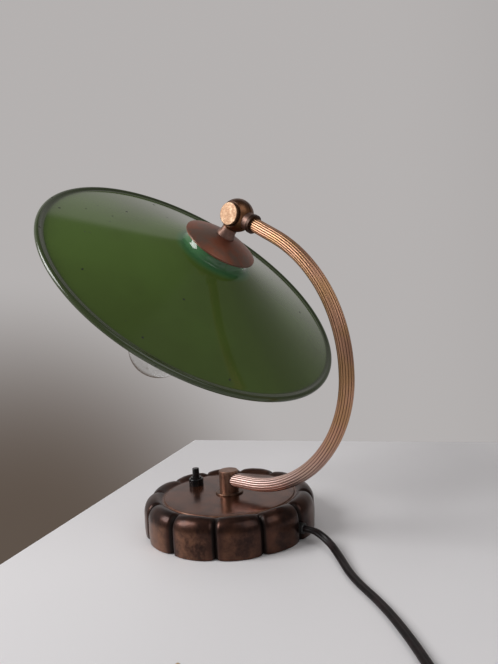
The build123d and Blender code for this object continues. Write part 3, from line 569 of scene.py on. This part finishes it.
nodeFinish = {
    "patinaCopper": ["base_shell"],
    "reedCopper": ["arm_tube"],
    "agedBrass": ["knuckle_arm_half", "knuckle_shade_half", "shade_spacer", "knuckle_nut"],
    "canopyCopper": ["canopy"],
    "capBrass": ["knuckle_screw"],
    "postCopper": ["post"],
    "collarCopper": ["post_collar"],
    "greenEnamel": ["shade"],
    "bakelite": ["switch_body", "switch_collar", "push_button", "holder_cap", "holder_sleeve",
                 "plug_body"],
    "steel": ["bottom_plate", "clamp_pipe", "clamp_washer", "clamp_nut", "shade_pipe", "shade_nut",
              "switch_spring", "lamp_filament"],
    "brass": ["thread_shell", "middle_contact", "switch_terminals", "plug_pins", "lamp_tip"],
    "aluminium": ["lamp_cap"],
    "castIron": ["ballast"],
    "felt": ["felt_pad"],
    "fibre": ["friction_disc"],
    "porcelain": ["holder_insert"],
    "blackGlass": ["lamp_insulator"],
    "clearGlass": ["lamp_glass", "lamp_stem"],
    "rubber": ["cord_bush"],
    "cordBrown": ["cord_lead", "cord_coil", "cord_tail", "inner_cord", "arm_flex", "shade_flex"],
}


def dress(piece, material):
    piece.data.materials.clear()
    piece.data.materials.append(material)


for finish, names in nodeFinish.items():
    for name in names:
        dress(nodes[name], finishes[finish])
dress(mainsCord, finishes["cordBrown"])
print("finishes made:", len(finishes))


def startEdit(piece):
    chooseOnly(piece)
    bpy.ops.object.mode_set(mode="EDIT")


def endEdit():  # with every face turned outwards
    bpy.ops.mesh.select_all(action="SELECT")
    bpy.ops.mesh.normals_make_consistent(inside=False)
    bpy.ops.object.mode_set(mode="OBJECT")


def extrudeRings(name, rings, sides):  # rings of (radius, height), drawn up from the first
    bpy.ops.object.select_all(action="DESELECT")
    bpy.ops.mesh.primitive_circle_add(vertices=sides, radius=rings[0][0] * mm,
                                      location=(0, 0, rings[0][1] * mm))
    piece = bpy.context.object
    piece.name = piece.data.name = name
    bpy.ops.object.transform_apply(location=True)
    startEdit(piece)
    bpy.ops.mesh.select_all(action="SELECT")
    for (before, near), (radius, far) in zip(rings, rings[1:]):
        bpy.ops.mesh.extrude_edges_move(TRANSFORM_OT_translate={"value": (0, 0, (far - near) * mm)})
        bpy.ops.transform.resize(value=(radius / before, radius / before, 1),
                                 center_override=(0, 0, far * mm))
    bpy.ops.object.mode_set(mode="OBJECT")
    return piece


def turnOnShadeAxis(name, rings, sides):  # a closed outline turned about the shade's axis
    piece = extrudeRings(name, rings, sides)
    startEdit(piece)
    bpy.ops.mesh.select_all(action="DESELECT")
    bpy.ops.mesh.select_non_manifold()
    bpy.ops.mesh.bridge_edge_loops()
    endEdit()
    piece.rotation_mode = "QUATERNION"
    piece.rotation_quaternion = Vector((0, 0, 1)).rotation_difference(shadeWay)
    piece.location = knuckle
    bpy.ops.object.transform_apply(location=True, rotation=True)
    return piece


def arc(centre, radii, first, last, steps):  # a bend, between two angles in degrees
    points = []
    for k in range(steps + 1):
        angle = math.radians(first + (last - first) * k / steps)
        points.append((centre[0] + radii[0] * math.cos(angle),
                       centre[1] + radii[1] * math.sin(angle)))
    return points


def sinkGroup(piece, amount):  # how far each vertex is pressed in, as a share
    group = piece.vertex_groups.new(name="sink")
    for vertex in piece.data.vertices:
        group.add([vertex.index], amount(vertex), "REPLACE")


def useModifier(piece, kind, settings):
    bpy.context.view_layer.objects.active = piece
    modifier = piece.modifiers.new(kind.lower(), kind)
    for name, value in settings.items():
        setattr(modifier, name, value)
    bpy.ops.object.modifier_apply(modifier=modifier.name)


def pressIn(piece, depth):  # leaves the share as an attribute for the finish
    useModifier(piece, "DISPLACE",
                {"strength": -depth * mm, "mid_level": 0.0, "vertex_group": "sink"})
    shares = piece.data.attributes.new("pressed", "FLOAT", "POINT")
    for vertex in piece.data.vertices:
        shares.data[vertex.index].value = vertex.groups[0].weight if vertex.groups else 0.0
    piece.vertex_groups.clear()


def giveSheet(piece, thickness):
    useModifier(piece, "SOLIDIFY",
                {"thickness": thickness * mm, "offset": -1.0, "use_even_offset": True})


def roundReed(share):  # 0 at a half-round crest, 1 in the sharp valley
    return 1 - math.sqrt(max(0.0, 1 - share * share))


def cutRound(piece, radius, depth, middle, way=(0, 0, 1)):
    bpy.ops.mesh.primitive_cylinder_add(vertices=48, radius=radius * mm, depth=depth * mm,
                                        location=Vector(middle) * mm)
    cutter = bpy.context.object
    cutter.rotation_mode = "QUATERNION"
    cutter.rotation_quaternion = Vector((0, 0, 1)).rotation_difference(Vector(way))
    useModifier(piece, "BOOLEAN", {"operation": "DIFFERENCE", "object": cutter, "solver": "EXACT"})
    bpy.data.objects.remove(cutter)


base = {
    "foot": (74.4, 0.5),
    "wall": [(74.7, 3.0), (74.9, 6.0), (75.0, 9.5), (75.0, 13.0), (74.95, 15.5)],
    "shoulderCentre": (65.6, 18.6),
    "shoulder": (9.35, 12.4),
    "shoulderSteps": 14,
    "crown": [(64.4, 30.85), (63.2, 30.45), (62.1, 29.85), (61.1, 29.1), (60.2, 28.3),
              (59.3, 27.7), (58.4, 27.45), (57.6, 27.5), (57.3, 27.8), (57.2, 28.2),
              (56.9, 28.45), (56.5, 28.5)],
    "disc": [(50, 28.5), (38, 28.5), (24, 28.5), (12, 28.5), (5.2, 28.5)],
    "lobes": 12,
    "phase": 2,
    "pointsPerLobe": 48,
    "groove": 4.5,
    "sharpWidth": 4.2,  # half widths of the groove's narrow bottom and of the lobes' roundness
    "broadWidth": 16,
    "sharpPart": 0.55,
    "grooveStart": (58.6, 9.0),  # radius where a groove begins, and the run to its full depth
    "sheet": 1.2,
    "switchHole": {"radius": 5.2, "depth": 8, "middle": (0, -41.6, 28)},
    "cordHole": {"radius": 4.25, "depth": 14, "away": 70, "height": 11},
}


def grooveShare(b, vertex):
    radius = math.hypot(vertex.co.x, vertex.co.y) / mm
    pitch = 360 / b["lobes"]
    angle = (math.degrees(math.atan2(vertex.co.y, vertex.co.x)) - b["phase"]) % pitch
    off = math.radians(min(angle, pitch - angle)) * radius
    sharp = max(0.0, 1 - off / b["sharpWidth"]) ** 2
    broad = max(0.0, 1 - off / b["broadWidth"]) ** 2
    start, run = b["grooveStart"]
    fade = min(1.0, max(0.0, (radius - start) / run))
    depth = b["sharpPart"] * sharp + (1 - b["sharpPart"]) * broad
    return depth * fade * fade * (3 - 2 * fade)


def makeBase(b):
    bend = arc(b["shoulderCentre"], b["shoulder"], 0, 90, b["shoulderSteps"])
    outline = [b["foot"]] + b["wall"] + bend + b["crown"] + b["disc"]
    piece = extrudeRings("lobedBase", outline, b["lobes"] * b["pointsPerLobe"])
    piece.rotation_euler.z = math.radians(b["phase"])
    bpy.ops.object.transform_apply(rotation=True)
    sinkGroup(piece, lambda vertex: grooveShare(b, vertex))
    startEdit(piece)
    endEdit()
    pressIn(piece, b["groove"])
    giveSheet(piece, b["sheet"])
    cutRound(piece, **b["switchHole"])
    hole = b["cordHole"]
    turn = math.radians(b["phase"] + 90)
    way = (math.cos(turn), math.sin(turn), 0)
    middle = (way[0] * hole["away"], way[1] * hole["away"], hole["height"])
    cutRound(piece, hole["radius"], hole["depth"], middle, way)
    chooseOnly(piece)
    bpy.ops.object.shade_smooth_by_angle(angle=softEdge)
    dress(piece, finishes["patinaCopper"])
    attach(piece, "base")
    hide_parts("base_shell")


makeBase(base)
print("base made")

shade = {
    "hole": 5.3,
    "top": 28.4,
    "topRings": (9, 14),
    "topRadius": 27.0,
    "neckRadius": 28.8,
    "shoulderBend": 8.0,
    "shoulderSteps": 10,
    "neckBend": 6.0,
    "neckSteps": 12,
    "skirtStart": 39.2,
    "skirtSteps": 15,
    "radius": 145.0,
    "rim": 72.0,
    "sheet": 0.9,
    "bead": 2.5,
    "rollStart": 38,  # degrees round the rolled rim where the skirt's curve meets it
    "rollEnd": 334,
    "rollSteps": 20,
    "footSteps": 6,
    "whiteUpTo": 1.6,  # the white enamel ends this many bead radii inside the edge
    "whiteFacing": 0.2,  # and lies only on faces that look this far into the shade
    "sides": 192,
}


def roundCorner(before, corner, after, radius, inset, steps):  # inset counts to the turn's left
    first = Vector(corner) - Vector(before)
    second = Vector(after) - Vector(corner)
    start = math.atan2(first.y, first.x)
    turn = (math.atan2(second.y, second.x) - start + math.pi) % (2 * math.pi) - math.pi
    side = math.copysign(1, turn)
    away = Vector((-math.sin(start), math.cos(start))) * side
    centre = Vector(corner) - first.normalized() * radius * math.tan(abs(turn) / 2) + away * radius
    points = []
    for k in range(steps + 1):
        angle = start + turn * k / steps
        out = Vector((math.sin(angle), -math.cos(angle))) * side
        points.append(tuple(centre + out * (radius - inset * side)))
    return points


def shadeOutline(s, inset):  # the pressed sheet's line, moved inwards by inset
    top, corner = (s["hole"], s["top"]), (s["topRadius"], s["top"])
    neck, bead = (s["neckRadius"], s["skirtStart"]), (s["radius"] - s["bead"], s["rim"])
    slope = math.atan2(bead[1] - neck[1], bead[0] - neck[0])
    points = [(radius, s["top"] + inset) for radius in (s["hole"], *s["topRings"])]
    points += roundCorner(top, corner, neck, s["shoulderBend"], inset, s["shoulderSteps"])
    points += roundCorner(corner, neck, bead, s["neckBend"], inset, s["neckSteps"])
    start = points[-1]
    end = (bead[0] - inset * math.sin(slope), bead[1] + inset * math.cos(slope))
    for k in range(1, s["skirtSteps"]):
        points.append((start[0] + (end[0] - start[0]) * k / s["skirtSteps"],
                       start[1] + (end[1] - start[1]) * k / s["skirtSteps"]))
    return points, math.degrees(slope)


def rollFoot(s, middle, slope):  # the hollow curve that leads from the skirt onto the rolled rim
    start = math.radians(s["rollStart"])
    turn = math.pi / 2 - start
    bend = s["bead"] * math.sin(start) / (1 - math.cos(turn))
    reach = s["bead"] * math.cos(start) + bend * math.sin(turn)
    back = Vector((-math.cos(math.radians(slope)), -math.sin(math.radians(slope))))
    points = []
    for k in range(s["footSteps"]):
        angle = turn * k / s["footSteps"]
        points.append(tuple(middle + back * (reach - bend * math.sin(angle))
                            + Vector((-back.y, back.x)) * bend * (1 - math.cos(angle))))
    return points


def makeShade(s):
    outer, slope = shadeOutline(s, 0)
    inner, slope = shadeOutline(s, s["sheet"])
    middle = Vector((s["radius"] - s["bead"], s["rim"]))
    back = 180 + slope
    roll = arc(middle, (s["bead"], s["bead"]), back + s["rollStart"], back + s["rollEnd"],
               s["rollSteps"])
    outline = outer + rollFoot(s, middle, slope) + roll + inner[::-1]
    piece = turnOnShadeAxis("enamelShade", outline, s["sides"])
    dress(piece, finishes["greenEnamel"])
    piece.data.materials.append(finishes["whiteEnamel"])
    whiteRadius = (s["radius"] - s["whiteUpTo"] * s["bead"]) * mm
    for face in piece.data.polygons:
        fromAxis = (face.center - knuckle).cross(shadeWay).length
        if face.normal.dot(shadeWay) > s["whiteFacing"] and fromAxis < whiteRadius:
            face.material_index = 1
    bpy.ops.object.shade_smooth_by_angle(angle=softEdge)
    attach(piece, "shade_head")
    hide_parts("shade")


makeShade(shade)
print("shade made")

arm = {
    "radius": 5.8,
    "sheet": 1.1,
    "reedDepth": 0.6,
    "reeds": 16,
    "pointsPerReed": 8,
    "footStart": 3.6,
    "footHeight": 40.3,
    "lowerCentre": (26.3, 137.3),
    "upperCentre": (-1.7, 140.0),
    "topRun": 43.32,
    "socketSeat": 15.3,
    "bendSteps": 44,
    "softEdge": 60,
}


def makeArm(a):
    bpy.ops.object.select_all(action="DESELECT")
    foot = (0, a["footStart"] * mm, a["footHeight"] * mm)
    sides = a["reeds"] * a["pointsPerReed"]
    bpy.ops.mesh.primitive_circle_add(vertices=sides, radius=a["radius"] * mm,
                                      rotation=(math.radians(90), 0, 0), location=foot)
    piece = bpy.context.object
    piece.name = piece.data.name = "reededArm"
    bpy.ops.object.transform_apply(location=True, rotation=True)
    half = a["pointsPerReed"] / 2
    sinkGroup(piece, lambda vertex: roundReed(abs(vertex.index % a["pointsPerReed"] - half) / half))
    startEdit(piece)
    bpy.ops.mesh.select_all(action="SELECT")
    for share in (0.4, 0.6):
        run = (a["lowerCentre"][0] - a["footStart"]) * share * mm
        bpy.ops.mesh.extrude_edges_move(TRANSFORM_OT_translate={"value": (0, run, 0)})
    bpy.ops.mesh.spin(steps=a["bendSteps"], angle=-math.radians(90), axis=(1, 0, 0),
                      center=(0, a["lowerCentre"][0] * mm, a["lowerCentre"][1] * mm))
    rise = (a["upperCentre"][1] - a["lowerCentre"][1]) * mm
    bpy.ops.mesh.extrude_edges_move(TRANSFORM_OT_translate={"value": (0, 0, rise)})
    bpy.ops.mesh.spin(steps=a["bendSteps"], angle=-armTurn, axis=(1, 0, 0),
                      center=(0, a["upperCentre"][0] * mm, a["upperCentre"][1] * mm))
    run = -armWay * (a["topRun"] - a["socketSeat"]) / 2 * mm
    for _ in range(2):
        bpy.ops.mesh.extrude_edges_move(TRANSFORM_OT_translate={"value": tuple(run)})
    endEdit()
    pressIn(piece, a["reedDepth"])
    giveSheet(piece, a["sheet"])
    bpy.ops.object.shade_smooth_by_angle(angle=math.radians(a["softEdge"]))
    dress(piece, finishes["reedCopper"])
    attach(piece, "base")
    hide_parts("arm_tube")


makeArm(arm)
print("arm made")

stage = {
    "tableSize": 5.0,
    "tableCorner": (-0.2233, -0.2726),
    "tableTurn": 24.2,
    "tableColours": ((0.82, 0.805, 0.82, 1), (0.7872, 0.7728, 0.7872, 1)),
    "ahead": (-0.7719, -0.6357, 0),  # the bright wall's way
    "side": (-0.6357, 0.7719, 0),
    "wallColour": (0.46, 0.44, 0.435, 1),
    "roomColour": (0.17, 0.165, 0.16, 1),
    "ceilingColour": (0.10, 0.10, 0.10, 1),
    "wallTop": (0.86, 0.90),  # sine of the elevation where the wall ends
    "behind": ((0.25, 1.35), (-2.3, -1.7)),  # radians over which the bright wall ends on each side
    "dimWay": (-0.3635, -0.8347, -0.4136),  # the dim corner beside the table
    "dimEdge": (0.86, 0.995),
    "dimColour": (0.11, 0.085, 0.068, 1),
    "lights": [("windowLight", (1.05, -0.75, 0.95), 0.8, 19),  # place, size and power
               ("roomLight", (0.2, 1.3, 1.2), 1.2, 6)],
    "lightAim": (0, 0, 0.14),
}


def paintTable(wires):
    return {"Base Color": objectPlace(wires).noise(6, 2, 0.5).colours(*stage["tableColours"])}


def makeTable(s):
    turn = math.radians(s["tableTurn"])
    half = s["tableSize"] / 2
    middle = (s["tableCorner"][0] + half * (math.cos(turn) - math.sin(turn)),
              s["tableCorner"][1] + half * (math.sin(turn) + math.cos(turn)), 0)
    bpy.ops.object.select_all(action="DESELECT")
    bpy.ops.mesh.primitive_plane_add(size=s["tableSize"], location=middle, rotation=(0, 0, turn))
    table = bpy.context.object
    table.name = "table"
    bpy.ops.object.transform_apply(location=True, rotation=True)
    dress(table, makeMaterial("tablePaint", {"Roughness": 0.45}, paintTable))


def makeRoom(s):  # plain walls with a darker ceiling and one dim corner
    world = bpy.data.worlds.new("room")
    bpy.context.scene.world = world
    world.use_nodes = True
    wires = Wire(world.node_tree)
    way = wires.node("ShaderNodeTexCoord", output="Generated")
    turn = wires.maths("ARCTAN2", way.along(s["side"]), way.along(s["ahead"]))
    first, second = s["behind"]
    behind = wires.maths("MAXIMUM", turn.step(*first), 1 - turn.step(*second))
    colour = behind.colours(s["wallColour"], s["roomColour"])
    colour = way.part(2).step(*s["wallTop"]).colours(colour, s["ceilingColour"])
    colour = way.along(s["dimWay"]).step(*s["dimEdge"]).colours(colour, s["dimColour"])
    background = world.node_tree.nodes["Background"]
    world.node_tree.links.new(colour.socket, background.inputs["Color"])
    background.inputs["Strength"].default_value = 1.0


makeTable(stage)
makeRoom(stage)


def softLight(name, place, size, power):
    bpy.ops.object.light_add(type="AREA", location=place)
    light = bpy.context.object
    light.name = name
    light.data.energy = power
    light.data.size = size
    ahead = Vector(stage["lightAim"]) - light.location
    light.rotation_euler = ahead.to_track_quat("-Z", "Y").to_euler()


for light in stage["lights"]:
    softLight(*light)

bpy.context.scene.view_settings.view_transform = "Standard"
